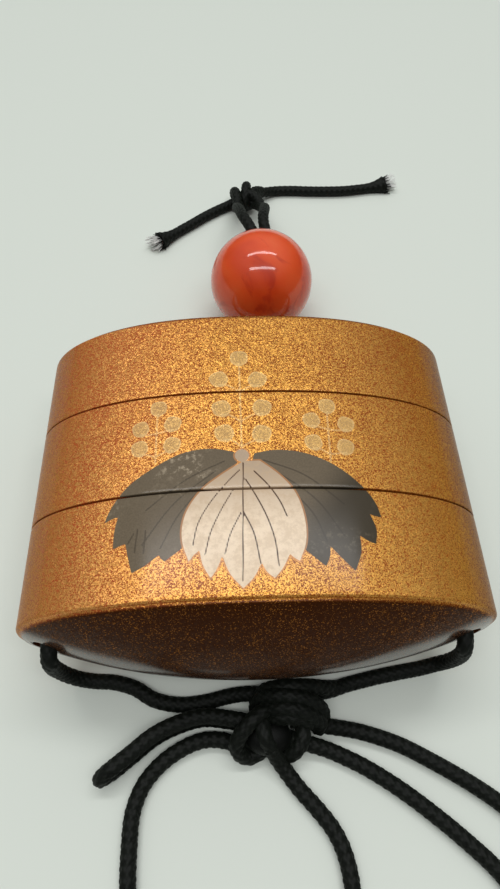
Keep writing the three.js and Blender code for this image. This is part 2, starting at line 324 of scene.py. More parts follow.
def smoothLine(points, step):
    p = np.array(points, float)
    p = np.vstack([2 * p[0] - p[1], p, 2 * p[-1] - p[-2]])
    line = []
    for i in range(1, len(p) - 2):
        a, b, c, d = p[i - 1:i + 3]
        ta = 0.0
        tb = ta + math.sqrt(np.linalg.norm(b - a))
        tc = tb + math.sqrt(np.linalg.norm(c - b))
        td = tc + math.sqrt(np.linalg.norm(d - c))
        for t in np.linspace(tb, tc, 24, endpoint=False):
            ab = (tb - t) / (tb - ta) * a + (t - ta) / (tb - ta) * b
            bc = (tc - t) / (tc - tb) * b + (t - tb) / (tc - tb) * c
            cd = (td - t) / (td - tc) * c + (t - tc) / (td - tc) * d
            abc = (tc - t) / (tc - ta) * ab + (t - ta) / (tc - ta) * bc
            bcd = (td - t) / (td - tb) * bc + (t - tb) / (td - tb) * cd
            line.append((tc - t) / (tc - tb) * abc + (t - tb) / (tc - tb) * bcd)
    line.append(p[-2])
    line = np.array(line)
    walked = np.concatenate([[0], np.cumsum(np.linalg.norm(np.diff(line, axis=0), axis=1))])
    even = np.linspace(0, walked[-1], max(8, int(walked[-1] / step)))
    return np.stack([np.interp(even, walked, line[:, k]) for k in range(3)], 1), walked[-1]


def crossFrames(line):
    ahead = np.gradient(line, axis=0)
    ahead /= np.linalg.norm(ahead, axis=1)[:, None]
    side = np.cross(ahead[0], (0.0, 0.0, 1.0))
    if np.linalg.norm(side) < 1e-6:
        side = np.array((1.0, 0.0, 0.0))
    sides = []
    for direction in ahead:
        side = side - direction * (side @ direction)
        side = side / np.linalg.norm(side)
        sides.append(side)
    sides = np.array(sides)
    return sides, np.cross(ahead, sides)


def braidHeight(around, along, c):
    p = along + around * c["stitchesRound"]
    q = along - around * c["stitchesRound"]
    u, v = p - np.floor(p), q - np.floor(q)
    over = (np.floor(p) + np.floor(q)) % 2 == 0
    across, lengthwise = np.where(over, u, v), np.where(over, v, u)
    bulge = np.sqrt(np.clip(1 - (2 * across - 1) ** 2, 0, 1))
    return bulge * (0.6 + 0.4 * np.sin(math.pi * lengthwise))


def cordTube(name, points, c, openEnd=False):
    line, length = smoothLine(points, c["ringStep"])
    sides, ups = crossFrames(line)
    rings = len(line) - 1
    walked = np.linspace(0, length, len(line))

    def height(around, along):
        return braidHeight(around / c["around"], walked[along] / c["stitchLength"], c)

    def shape(around, along):
        angle = 2 * math.pi * around / c["around"]
        radius = c["diameter"] / 2 - c["relief"] * (1 - height(around, along))
        if openEnd:
            spread = np.clip(1 - walked[along] / c["flareLength"], 0, 1)
            radius = radius * (1 + c["flare"] * spread * spread)
        across = np.cos(angle)[:, None] * sides[along] + np.sin(angle)[:, None] * ups[along]
        placed = line[along] + across * radius[:, None]
        placed[:, 2] = np.maximum(placed[:, 2], 0.0)
        return placed

    tube = gridSkin(name, c["around"], rings, shape, {"strand": height})
    return tube, line, length


def finishCord(tube, material, nodes):
    tube.data.materials.append(material)
    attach(tube, "root")
    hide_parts(*nodes)


def makeBraidMaterial():
    n = Nodes("black_braid")
    place = n.place()
    strand = n.attribute("strand")
    fibre = n.noise(place, 7000.0, 2.0)
    # painted shade: where the strand height is low, in the crevices between strands, the braid is
    # darker; the fibre noise is the cord's own tone
    fibreAndCreviceShade = n.timesAdd(fibre, 0.5, n.times(strand, 0.5))
    n.set(Base_Color=n.ramp(fibreAndCreviceShade, (0.2, (0.0006, 0.0008, 0.0005)), (0.8, (0.0050, 0.0066, 0.0044))),
          Roughness=0.55, Sheen_Weight=0.02, Sheen_Roughness=0.5,
          Sheen_Tint=(0.55, 0.66, 0.5, 1), Specular_IOR_Level=0.16,
          Normal=n.bump(fibre, 0.00005, 0.7))
    return n.material


braidMaterial = makeBraidMaterial()
leftCord, leftLine, leftLength = cordTube(
    "cord_left_braid", endLeftRoute[::-1] + leftRoute, cord, openEnd=True)
rightCord, rightLine, rightLength = cordTube(
    "cord_right_braid", endRightRoute[::-1] + rightRoute, cord, openEnd=True)
bight, bightLine, bightLength = cordTube("bow_bight_braid", bightRoute, cord)
bowLoop, loopLine, loopLength = cordTube("bow_loop_braid", loopRoute, cord)
tailLoop, tailLine, tailLength = cordTube("tail_loop_braid", tailRoute, cord)
finishCord(leftCord, braidMaterial, ["cord_left", "tail_end_left"])
finishCord(rightCord, braidMaterial, ["cord_right", "tail_end_right"])
finishCord(bight, braidMaterial, ["bow_bight"])
finishCord(bowLoop, braidMaterial, ["bow_loop"])
finishCord(tailLoop, braidMaterial, ["tail_loop"])
cordLengths = (leftLength, rightLength, bightLength, loopLength, tailLength)
print("cords laid, mm:", [round(length / mm) for length in cordLengths])

# knots: lengths of the same cord laid over a core, in mm

bowStrands = [
    [(9.8, -23.7, 1.6), (8.2, -23.9, 3.2), (6.5, -24.0, 4.7), (5.0, -24.1, 5.6), (3.5, -24.1, 5.8),
     (2.0, -24.1, 5.2), (0.7, -24.2, 3.8), (0.1, -24.8, 2.2), (0.4, -25.5, 1.2)],
    [(-0.3, -25.9, 1.3), (-0.2, -25.3, 3.0), (0.9, -25.0, 4.8), (2.7, -25.1, 6.0),
     (4.8, -25.4, 6.0),
     (6.6, -25.9, 5.0), (7.8, -26.6, 3.4), (8.0, -27.2, 1.8)],
    [(-0.1, -26.9, 1.8), (0.9, -26.5, 4.0), (2.7, -26.4, 5.4), (4.6, -26.7, 5.5), (6.4, -27.3, 4.4),
     (7.5, -27.9, 2.9), (7.4, -28.4, 1.4)],
    [(1.5, -27.4, 3.4), (3.0, -27.3, 4.2), (4.8, -27.5, 4.2), (6.4, -27.9, 3.4)],
    [(2.9, -25.3, 3.2), (1.4, -26.0, 4.2), (0.1, -26.9, 5.0), (-1.2, -27.9, 5.0),
     (-2.3, -29.0, 4.3),
     (-2.9, -30.1, 3.2), (-2.5, -31.0, 1.9), (-1.4, -31.3, 1.0), (-0.1, -30.8, 1.0),
     (1.0, -30.0, 1.2)],
    [(0.6, -26.8, 3.4), (0.3, -28.1, 4.5), (0.5, -29.4, 4.4), (1.1, -30.4, 3.6), (1.7, -31.2, 2.6),
     (2.3, -31.9, 1.9)],
    [(4.9, -27.0, 2.0), (5.3, -28.5, 3.0), (5.1, -29.9, 3.1), (4.2, -31.0, 2.4), (3.1, -31.3, 1.4),
     (2.0, -30.9, 1.0)],
]
bowCores = [((4.0, -25.6, 2.9), (3.3, 2.0, 2.5)), ((1.0, -29.2, 2.5), (2.9, 2.2, 2.0))]
topStrands = [
    [(-0.5, 67.6, 3.9), (-0.4, 69.2, 4.0), (-0.5, 71.0, 4.2), (-0.7, 72.6, 3.9), (-0.9, 73.9, 3.0),
     (-0.9, 74.6, 1.9), (-0.6, 74.6, 1.1)],
    [(0.9, 69.9, 1.6), (1.1, 70.5, 3.4), (1.3, 71.8, 4.5), (1.5, 73.3, 4.6), (1.6, 74.7, 3.7),
     (1.6, 75.5, 2.4), (1.6, 75.4, 1.2)],
    [(2.4, 71.4, 3.8), (3.0, 72.6, 3.9), (3.8, 73.9, 3.2), (4.8, 75.1, 2.2)],
    [(4.3, 68.2, 3.8), (3.9, 69.8, 3.9), (2.9, 71.0, 4.2), (1.6, 71.6, 4.2), (0.6, 71.6, 3.2)],
]
topCores = [((1.4, 71.9, 2.4), (2.2, 2.2, 2.0))]
knotCoreGrid = {"around": 24, "along": 16}


def knotCore(name, place, half, c):
    def shape(around, along):
        turn = 2 * math.pi * around / c["around"]
        tilt = math.pi * along / c["along"]
        out = np.stack([np.cos(turn) * np.sin(tilt), np.sin(turn) * np.sin(tilt), np.cos(tilt)], 1)
        return (np.array(place) + out * np.array(half)) * mm

    # the core takes the lowest strand height, so it gets the braid's darkest painted crevice shade
    def strand(around, along):
        return around * 0.0

    return gridSkin(name, c["around"], c["along"], shape, {"strand": strand})


def makeKnot(name, node, strands, cores):
    parts = []
    for index, strand in enumerate(strands):
        route = [tuple(value * mm for value in point) for point in strand]
        parts.append(cordTube(f"turn_{index}", route, cord)[0])
    for index, (place, half) in enumerate(cores):
        parts.append(knotCore(f"core_{index}", place, half, knotCoreGrid))
    knot = joinPieces(name, parts)
    knot.data.materials.append(braidMaterial)
    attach(knot, "root")
    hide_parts(node)
    return knot


bowKnot = makeKnot("bow_knot_braid", "bow_knot", bowStrands, bowCores)
topKnot = makeKnot("top_knot_braid", "top_knot", topStrands, topCores)
print("knots tied")

# the frayed ends: black fibres that flare round a white core

frayed = {
    "fibres": {"count": 120, "length": 0.0018, "flare": 0.5, "spread": 0.0018,
               "thickness": 0.00009},
    "core": {"count": 70, "length": 0.00342, "flare": 0.35, "spread": 0.0011,
             "thickness": 0.000135},
    "sides": 4,
    "root": 0.0006,            # how deep the fibres start in the cord
    "tipShare": 0.5,           # thickness at the tip
    "floorGap": 0.00002,
}


def fibreBundle(bm, tip, ahead, bundle, rng):
    thickness = bundle["thickness"]
    side = ahead.cross(Vector((0, 0, 1))).normalized()
    up = side.cross(ahead).normalized()
    for _ in range(bundle["count"]):
        turn = rng.uniform(0, 2 * math.pi)
        out = bundle["spread"] * math.sqrt(rng.random())
        start = tip + (side * math.cos(turn) + up * math.sin(turn)) * out
        lean = bundle["flare"] * out / bundle["spread"] * rng.uniform(0.6, 1.3)
        heading = (ahead + (side * math.cos(turn) + up * math.sin(turn)) * lean).normalized()
        reach = bundle["length"] * rng.uniform(0.55, 1.0)
        fibre = bmesh.ops.create_cone(bm, cap_ends=True, segments=frayed["sides"],
                                      radius1=thickness, radius2=thickness * frayed["tipShare"],
                                      depth=reach)
        spin = heading.to_track_quat("Z", "Y").to_matrix().to_4x4()
        middle = start + heading * (reach / 2 - frayed["root"])
        if middle.z < thickness * 3:
            middle.z = thickness * 3
        bmesh.ops.transform(bm, matrix=Matrix.Translation(middle) @ spin, verts=fibre["verts"])


def makeFray(name, line, seed):
    rng = random.Random(seed)
    tip = Vector(line[0])
    ahead = Vector(line[0] - line[4]).normalized()
    pieces = []
    for label in ("fibres", "core"):
        bm = bmesh.new()
        fibreBundle(bm, tip, ahead, frayed[label], rng)
        for vert in bm.verts:
            vert.co.z = max(vert.co.z, frayed["floorGap"])
        mesh = bpy.data.meshes.new(f"{name}_{label}")
        bm.to_mesh(mesh)
        bm.free()
        piece = bpy.data.objects.new(f"{name}_{label}", mesh)
        bpy.context.collection.objects.link(piece)
        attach(piece, "root")
        pieces.append(piece)
    return pieces


def makeCoreMaterial():
    n = Nodes("white_core")
    shade = n.noise(n.place(), 6000.0)
    n.set(Base_Color=n.ramp(shade, (0.3, (0.62, 0.62, 0.6)), (0.7, (0.9, 0.9, 0.88))),
          Roughness=0.8, Subsurface_Weight=0.2, Subsurface_Radius=(0.0004, 0.0004, 0.0004))
    return n.material


coreMaterial = makeCoreMaterial()
leftFray = makeFray("tail_left", leftLine, 4)
rightFray = makeFray("tail_right", rightLine, 9)
for fibres, core in (leftFray, rightFray):
    fibres.data.materials.append(braidMaterial)
    core.data.materials.append(coreMaterial)
print("ends frayed")

# the bead

bead = {
    "radius": beadRadius,
    "bore": 0.0025,
    "boreRound": 0.0004,
    "boreLip": 0.0001,         # how far the rounded mouth turns in
    "around": 96,
    "along": 64,
}


def makeBead(c):
    boreAngle = math.asin(c["bore"] / c["radius"])
    outline = []
    for k in range(c["along"] + 1):
        angle = boreAngle + (math.pi - 2 * boreAngle) * k / c["along"]
        outline.append((c["radius"] * math.sin(angle), -c["radius"] * math.cos(angle)))
    mouth = outline[0][1]
    inner = c["bore"] - c["boreLip"]
    outline = [(inner, mouth + c["boreRound"])] + outline
    outline.append((inner, -mouth - c["boreRound"]))
    outline.append(outline[0])
    outline = np.array(outline)

    def shape(around, along):
        turn = 2 * math.pi * around / c["around"]
        r, y = outline[along, 0], outline[along, 1]
        z = r * np.sin(turn)
        tipped = [r * np.cos(turn), y * math.cos(beadTilt) - z * math.sin(beadTilt),
                  y * math.sin(beadTilt) + z * math.cos(beadTilt)]
        return np.stack(tipped, 1) + np.array(beadPlace)

    return gridSkin("stone_bead", c["around"], len(outline) - 1, shape)


stoneLook = {
    "body": ((0.32, (0.60, 0.050, 0.009)), (0.5, (0.74, 0.088, 0.018)),
             (0.72, (0.78, 0.135, 0.036))),
    "swirl": (0.44, 0.024, 0.010), "fleck": (0.10, 0.035, 0.025), "fleckRadius": (0.0026, 0.0015),
    "coat": 0.75, "coatRoughness": 0.06,
}


def makeStoneMaterial(look):
    n = Nodes("red_stone")
    spot = n.add("ShaderNodeVectorMath", operation="SUBTRACT")
    n.put(spot.inputs[0], n.place())
    spot.inputs[1].default_value = beadPlace
    place = spot.outputs[0]
    cloud = n.noise(place, 75.0, 2.0, 0.5, 0.8)
    body = n.ramp(cloud, *look["body"])
    swirl = n.noise(place, 130.0, 3.0, 0.5, 2.0)
    body = n.mix(n.times(n.steps(swirl, 0.52, 0.66), 0.5), body, look["swirl"])
    fleck = n.add("ShaderNodeVectorMath", operation="DISTANCE")
    n.put(fleck.inputs[0], place)
    fleck.inputs[1].default_value = beadFleck
    uneven = n.timesAdd(n.noise(place, 1400.0, 2.0), 0.0016, fleck.outputs["Value"])
    body = n.mix(n.times(n.steps(uneven, *look["fleckRadius"]), 0.7), body, look["fleck"])
    rub = n.noise(place, 900.0, 3.0)
    n.set(Base_Color=body, Roughness=n.timesAdd(rub, 0.12, 0.1), Subsurface_Weight=0.5,
          Subsurface_Scale=0.002, Subsurface_Radius=(1.0, 0.35, 0.2), Coat_Weight=look["coat"],
          Coat_Roughness=look["coatRoughness"], Specular_IOR_Level=0.1)
    return n.material


stoneBead = makeBead(bead)
stoneBead.data.materials.append(makeStoneMaterial(stoneLook))
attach(stoneBead, "root")
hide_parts("bead")
print("bead made")

# the case

case = {
    "halfWidth": 28.0, "halfThickness": 12.6, "middleZ": 12.45,
    "widthPower": 2.3, "thickPower": 2.2,
    "bottomRim": -19.0, "lowerSeam": -6.6, "upperSeam": 6.7, "topRim": 19.0, "dome": 5.2,
    "seamGap": 0.25, "seamRound": 0.10, "rimRound": 0.42,
    "recess": (22.5, 10.9), "riser": (22.2, 10.6), "hollow": (21.3, 9.7),
    "riserHeight": 4.0, "recessDepth": 4.3, "floor": 1.6,
    "channelX": 24.75, "channelDiameter": 3.0, "channelLength": 70,
    "fineStep": 0.15, "coarseStep": 0.9, "fineFrom": -18.3, "fineTo": 15.0,
    "plainStep": 0.5, "seamEnd": 0.4, "rimEnd": 0.55,    # along the wall
    "fineNear": (-18.6, 20), "fineMiddle": (-20, 20), "fineFar": (0, 13.6),
    "domeShares": [0.975, 0.95, 0.92, 0.88, 0.83, 0.77, 0.7, 0.62, 0.53, 0.43, 0.32, 0.2, 0.1, 0.0],
    "ceilingShares": [0.0, 0.2, 0.4, 0.6, 0.75, 0.88, 0.96, 1.0],
    "paintedArc": 21, "paintedReach": 19.5,    # the motifs lie within these
}


def sectionPoint(angle, halfWidth, halfThickness, c):
    cosine, sine = np.cos(angle), np.sin(angle)
    x = halfWidth * np.sign(cosine) * np.abs(cosine) ** (2 / c["widthPower"])
    z = halfThickness * np.sign(sine) * np.abs(sine) ** (2 / c["thickPower"])
    return x, z


def sectionTable(c):
    angle = np.linspace(-math.pi / 2, 3 * math.pi / 2, 6001)
    x, z = sectionPoint(angle, c["halfWidth"], c["halfThickness"], c)
    walked = np.concatenate([[0], np.cumsum(np.hypot(np.diff(x), np.diff(z)))])
    top = np.interp(math.pi / 2, angle, walked)
    return angle, top - walked    # mm from the top middle, positive towards +X


tableAngle, tableArc = sectionTable(case)


def caseColumns(c):
    low, high = tableArc.min(), tableArc.max()
    leftCount = round((c["fineFrom"] - low) / c["coarseStep"])
    rightCount = round((high - c["fineTo"]) / c["coarseStep"])
    left = np.linspace(low, c["fineFrom"], leftCount, endpoint=False)
    fine = np.arange(c["fineFrom"], c["fineTo"], c["fineStep"])
    right = np.linspace(c["fineTo"], high, rightCount + 1)
    arcs = np.concatenate([left, fine, right])
    return np.interp(-arcs, -tableArc, tableAngle)


def wallRows(near, far, fineNear, fineFar, c):
    y = near
    rows = []
    while y < far:
        rows.append(y)
        y += c["fineStep"] if fineNear <= y <= fineFar else c["plainStep"]
    rows.append(far)
    return rows


def seamCorner(seam, side, c):
    r = c["seamRound"]
    return [(1.0, r * (1 - math.sin(a)), seam - side * r * (1 - math.cos(a)))
            for a in np.linspace(0, math.pi / 2, 6)]


def rimAndDome(rim, side, c):
    r = c["rimRound"]
    rows = [(1.0, r * (1 - math.cos(a)), rim + side * (r * math.sin(a) - r))
            for a in np.linspace(0, math.pi / 2, 7)]
    for share in c["domeShares"]:
        rows.append((share, 0.0, rim + side * c["dome"] * (1 - share * share)))
    return rows


def innerDome(rim, side, half, c):
    return [(share, 0.0, rim + side * c["dome"] * (1 - share * share), half)
            for share in c["ceilingShares"]]


def makeShell(name, rows, c):
    full = [row if len(row) == 4 else (*row, (c["halfWidth"], c["halfThickness"])) for row in rows]
    share = np.array([row[0] for row in full])
    inset = np.array([row[1] for row in full])
    y = np.array([row[2] for row in full])
    wide = np.array([row[3][0] for row in full])
    thick = np.array([row[3][1] for row in full])
    angles = caseColumns(c)

    def shape(around, along):
        x, z = sectionPoint(angles[around], (share * (wide - inset))[along],
                            (share * (thick - inset))[along], c)
        return np.stack([x, y[along], np.maximum(c["middleZ"] + z, 0.0)], 1) * mm

    return gridSkin(name, len(angles) - 1, len(full) - 1, shape, weld=1e-6)


def cutChannels(shell, c):
    radius = c["channelDiameter"] / 2 * mm
    alongY = Matrix.Rotation(math.pi / 2, 3, "X")
    for side in (-1, 1):
        place = (side * c["channelX"] * mm, 0, c["middleZ"] * mm)
        bm = bmesh.new()
        bmesh.ops.create_cone(bm, cap_ends=True, segments=40, radius1=radius, radius2=radius,
                              depth=c["channelLength"] * mm)
        bmesh.ops.rotate(bm, cent=(0, 0, 0), matrix=alongY, verts=bm.verts)
        bmesh.ops.translate(bm, vec=place, verts=bm.verts)
        mesh = bpy.data.meshes.new("drill")
        bm.to_mesh(mesh)
        bm.free()
        drill = bpy.data.objects.new("drill", mesh)
        bpy.context.collection.objects.link(drill)
        cutter = shell.modifiers.new("channel", "BOOLEAN")
        cutter.operation = "DIFFERENCE"
        cutter.solver = "EXACT"
        cutter.object = drill
        graph = bpy.context.evaluated_depsgraph_get()
        cutMesh = bpy.data.meshes.new_from_object(shell.evaluated_get(graph))
        shell.modifiers.clear()
        old = shell.data
        shell.data = cutMesh
        bpy.data.meshes.remove(old)
        bpy.data.objects.remove(drill)
    shell.data.shade_smooth()


# the paulownia: outlines in mm as (round the section from its top middle, along Y)

leafMiddle = [
    [(-1.5, -3.1), (-4.3, -5.0), (-6.3, -6.7), (-7.8, -9.0), (-8.3, -11.0), (-8.2, -12.8),
     (-7.5, -14.9)],
    [(-7.5, -14.9), (-6.9, -14.1), (-6.4, -13.7)],
    [(-6.4, -13.7), (-6.0, -15.4), (-5.2, -16.8)],
    [(-5.2, -16.8), (-4.5, -15.7), (-4.0, -14.4)],
    [(-4.0, -14.4), (-3.2, -16.4), (-1.9, -18.0)],
    [(-1.9, -18.0), (-0.8, -16.9), (0.1, -15.3)],
    [(0.1, -15.3), (0.6, -16.3), (1.4, -17.0)],
    [(1.4, -17.0), (2.3, -15.9), (3.1, -14.4)],
    [(3.1, -14.4), (3.5, -14.8), (4.1, -15.2)],
    [(4.1, -15.2), (4.9, -13.1), (5.0, -10.3), (4.2, -7.2), (2.6, -5.0), (0.2, -2.9)],
]
leafLeft = [
    [(-2.4, -1.9), (-4.3, -1.4), (-6.3, -1.3), (-8.8, -1.8), (-11.6, -3.2), (-14.3, -5.0),
     (-15.6, -6.4), (-16.7, -8.2), (-17.2, -9.6)],
    [(-17.2, -9.6), (-16.4, -9.2), (-15.6, -9.0)],
    [(-15.6, -9.0), (-15.9, -10.8), (-15.9, -12.8)],
    [(-15.9, -12.8), (-15.2, -12.5), (-14.5, -12.3)],
    [(-14.5, -12.3), (-14.1, -13.9), (-13.6, -15.7)],
    [(-13.6, -15.7), (-12.2, -15.0), (-10.7, -13.9)],
    [(-10.7, -13.9), (-10.5, -14.3), (-10.1, -14.7)],
    [(-10.1, -14.7), (-8.4, -13.5)],
    [(-8.4, -13.5), (-6.0, -9.0), (-2.0, -3.0)],
]
leafRight = [
    [(-0.2, -2.1), (2.1, -1.7), (4.8, -1.9), (7.7, -2.9), (10.3, -4.6), (12.4, -6.8), (13.3, -8.4),
     (13.7, -10.0)],
    [(13.7, -10.0), (13.0, -9.9), (12.4, -9.7)],
    [(12.4, -9.7), (12.9, -11.5), (12.6, -13.2)],
    [(12.6, -13.2), (11.8, -12.9), (10.9, -12.3)],
    [(10.9, -12.3), (10.8, -14.2), (9.9, -16.3)],
    [(9.9, -16.3), (8.7, -15.0), (7.5, -13.6)],
    [(7.5, -13.6), (7.3, -14.8), (6.8, -15.8)],
    [(6.8, -15.8), (5.9, -15.0), (4.8, -14.0)],
    [(4.8, -14.0), (3.0, -9.0), (-0.6, -3.0)],
]
cap = {"place": (-1.6, -2.35), "radius": 0.82}
middleVeins = [
    [(-1.5, -3.3), (-1.7, -10.0), (-1.9, -17.2)],
    [(-1.9, -4.2), (-3.4, -5.8), (-5.4, -8.4), (-6.6, -10.7), (-7.1, -13.1)],
    [(-2.7, -6.7), (-4.1, -9.2), (-5.2, -11.7), (-5.8, -14.2)],
    [(-1.9, -9.5), (-3.1, -12.0), (-3.7, -14.2)],
    [(-1.3, -5.4), (-0.4, -7.1), (0.8, -9.8), (1.6, -12.6), (1.9, -15.7)],
    [(-0.3, -4.4), (1.2, -6.2), (2.4, -8.2), (3.1, -10.1)],
    [(-1.6, -9.5), (-0.6, -11.9), (0.0, -15.4)],
]
sideVeins = [
    [(-3.6, -3.0), (-8.0, -5.2), (-12.4, -8.6)],
    [(-4.6, -4.2), (-9.2, -8.0), (-12.6, -12.6)],
    [(-5.6, -5.6), (-8.8, -9.6), (-10.6, -13.2)],
    [(-13.6, -11.2), (-14.2, -12.3)], [(-13.2, -10.8), (-13.4, -13.4)],
    [(-12.3, -11.0), (-12.4, -13.6)],
    [(0.8, -3.0), (5.4, -5.0), (9.6, -8.6)],
    [(1.8, -4.2), (6.4, -8.0), (9.2, -12.4)],
    [(2.8, -5.8), (6.0, -9.8), (7.2, -13.0)],
]
sprays = [   # stem, then each blossom with its turn, where it meets the stem, and its size
    {"stem": [(-1.6, 10.9), (-1.6, -1.7)],
     "blossoms": [((-1.6, 11.9), 0.0, (-1.6, 10.4)), ((-4.2, 8.7), 0.5, (-1.6, 6.6)),
                  ((0.6, 8.5), -0.5, (-1.6, 6.6)), ((-3.9, 4.3), 0.35, (-1.6, 2.3)),
                  ((1.0, 4.3), -0.35, (-1.6, 2.3)), ((-3.6, 0.8), 0.35, (-1.6, -1.2)),
                  ((0.8, 0.6), -0.35, (-1.6, -1.2))], "size": 1.12},
    {"stem": [(-11.6, 3.8), (-11.6, -2.7)],
     "blossoms": [((-11.5, 4.9), 0.0, (-11.6, 3.4)), ((-13.6, 2.2), 0.35, (-11.6, 1.3)),
                  ((-9.7, 2.5), -0.35, (-11.6, 1.3)), ((-13.6, -0.5), 0.3, (-11.6, -1.9)),
                  ((-9.7, -0.4), -0.3, (-11.6, -1.9))], "size": 1.02},
    {"stem": [(8.8, 3.6), (8.6, -3.2)],
     "blossoms": [((8.9, 4.6), 0.0, (8.8, 3.1)), ((6.8, 2.5), 0.35, (8.7, 1.2)),
                  ((11.0, 2.1), -0.35, (8.7, 1.2)), ((6.8, -0.6), 0.3, (8.6, -2.2)),
                  ((10.6, -1.1), -0.3, (8.6, -2.2))], "size": 1.02},
]
flatStep = 0.25    # mm between the points of a drawn line


def flatCurve(points):
    if len(points) < 3:
        return np.array(points, float)
    line, _ = smoothLine([(x, y, 0.0) for x, y in points], flatStep)
    return line[:, :2]


def outlineOf(strokes):
    return np.vstack([flatCurve(stroke)[:-1] for stroke in strokes])


def distanceToLine(p, line):
    best = np.full(len(p), 1e9)
    for a, b in zip(line[:-1], line[1:]):
        d = b - a
        t = np.clip(((p - a) @ d) / max(d @ d, 1e-12), 0, 1)
        best = np.minimum(best, np.hypot(*(p - a - t[:, None] * d).T))
    return best


def insideDistance(p, outline):
    closed = np.vstack([outline, outline[:1]])
    far = distanceToLine(p, closed)
    inside = np.zeros(len(p), bool)
    for a, b in zip(closed[:-1], closed[1:]):
        crosses = (a[1] > p[:, 1]) != (b[1] > p[:, 1])
        level = (p[:, 1] - a[1]) / (b[1] - a[1] + 1e-15)
        inside ^= crosses & (p[:, 0] < a[0] + level * (b[0] - a[0]))
    return np.where(inside, far, -far)


def blossomOutline(place, turn, size):
    angles = np.linspace(0, 2 * math.pi, 36, endpoint=False)
    point = np.exp(-((angles - 1.5 * math.pi) / 0.35) ** 2)    # where it meets its stem
    reach = size * (1 + 0.045 * np.cos(4 * angles + math.pi) + 0.22 * point)
    x = reach * np.cos(angles)
    y = reach * np.sin(angles)
    return np.stack([place[0] + x * math.cos(turn) - y * math.sin(turn),
                     place[1] + x * math.sin(turn) + y * math.cos(turn)], 1)


def paintLayers(shell, c):
    mesh = shell.data
    co = np.zeros(len(mesh.vertices) * 3)
    mesh.vertices.foreach_get("co", co)
    co = co.reshape(-1, 3) / mm
    wide = co[:, 0] / c["halfWidth"]
    high = (co[:, 2] - c["middleZ"]) / c["halfThickness"]
    angle = np.arctan2(np.sign(high) * np.abs(high) ** (c["thickPower"] / 2),
                       np.sign(wide) * np.abs(wide) ** (c["widthPower"] / 2))
    angle = np.where(angle < -math.pi / 2, angle + 2 * math.pi, angle)
    arc = np.interp(angle, tableAngle, tableArc)
    outside = np.abs(wide) ** c["widthPower"] + np.abs(high) ** c["thickPower"] > 0.9
    near = (outside & (high > 0) & (np.abs(arc) < c["paintedArc"])
            & (np.abs(co[:, 1]) < c["paintedReach"]))
    p = np.stack([arc, co[:, 1]], 1)[near]

    def layer(name, values):
        full = np.full(len(co), -5.0)
        full[near] = values
        data = mesh.attributes.new(name, "FLOAT", "POINT").data
        data.foreach_set("value", np.clip(full, -5, 5).astype(np.float32))

    def nearness(lines):
        return -np.min([distanceToLine(p, line) for line in lines], axis=0)

    capDistance = cap["radius"] - np.hypot(*(p - np.array(cap["place"])).T)
    layer("leafMiddle", np.maximum(insideDistance(p, outlineOf(leafMiddle)), capDistance))
    layer("leafSide", np.maximum(insideDistance(p, outlineOf(leafLeft)),
                                 insideDistance(p, outlineOf(leafRight))))
    layer("veinMiddle", nearness([flatCurve(vein) for vein in middleVeins]))
    layer("veinSide", nearness([flatCurve(vein) for vein in sideVeins]))
    petals, lines = [], []
    for spray in sprays:
        lines.append(flatCurve(spray["stem"]))
        for place, turn, joint in spray["blossoms"]:
            petals.append(insideDistance(p, blossomOutline(place, turn, spray["size"])))
            low = (place[0] * 0.55 + joint[0] * 0.45, place[1] - spray["size"] * 0.95)
            lines.append(flatCurve([(place[0], place[1] - spray["size"] * 0.8), low, joint]))
    layer("petal", np.max(petals, axis=0))
    layer("stem", nearness(lines))


lacquerLook = {
    "flakes": 8400.0, "specks": 15000.0, "grain": 5200.0,    # cells and waves per metre
    "blotches": 420.0, "clouds": 130.0,
    "groundRight": (0.25, 0.052, 0.005), "groundLeft": (0.42, 0.080, 0.020),
    "goldRight": (1.0, 0.55, 0.12), "goldLeft": (1.0, 0.50, 0.16), "goldDim": (0.56, 0.23, 0.036),
    # painted shade: darker ground and gold on the domed ends
    "groundEndsShaded": (0.035, 0.009, 0.002), "goldEndsShaded": (0.46, 0.17, 0.028),
    # painted shade on the narrow sides, stronger on the right
    "sides": (0.045, 0.014, 0.010), "rightShade": 0.75, "leftShade": 0.45,
    "petals": ((0.56, 0.38, 0.15), (0.66, 0.46, 0.20)), "petalCover": 0.6,
    "lines": (0.86, 0.60, 0.28), "lineCover": 0.38,
    "flakeTilt": 0.34, "coat": 0.34, "endCoat": (0.06, 0.94), "coatRoughness": 0.16,
}
leafLook = {
    "dark": ((0.100, 0.077, 0.050), (0.170, 0.132, 0.088)), "darkShade": (0.030, 0.025, 0.016),
    "darkWorn": (0.38, 0.31, 0.22), "darkVein": (0.018, 0.014, 0.010),
    "trim": (0.50, 0.22, 0.085), "trimCover": 0.7,
    "pale": ((0.46, 0.345, 0.245), (0.86, 0.69, 0.51)), "paleWorn": (0.56, 0.40, 0.25),
    "paleGrain": (0.42, 0.28, 0.17), "paleVein": (0.065, 0.028, 0.016),
}


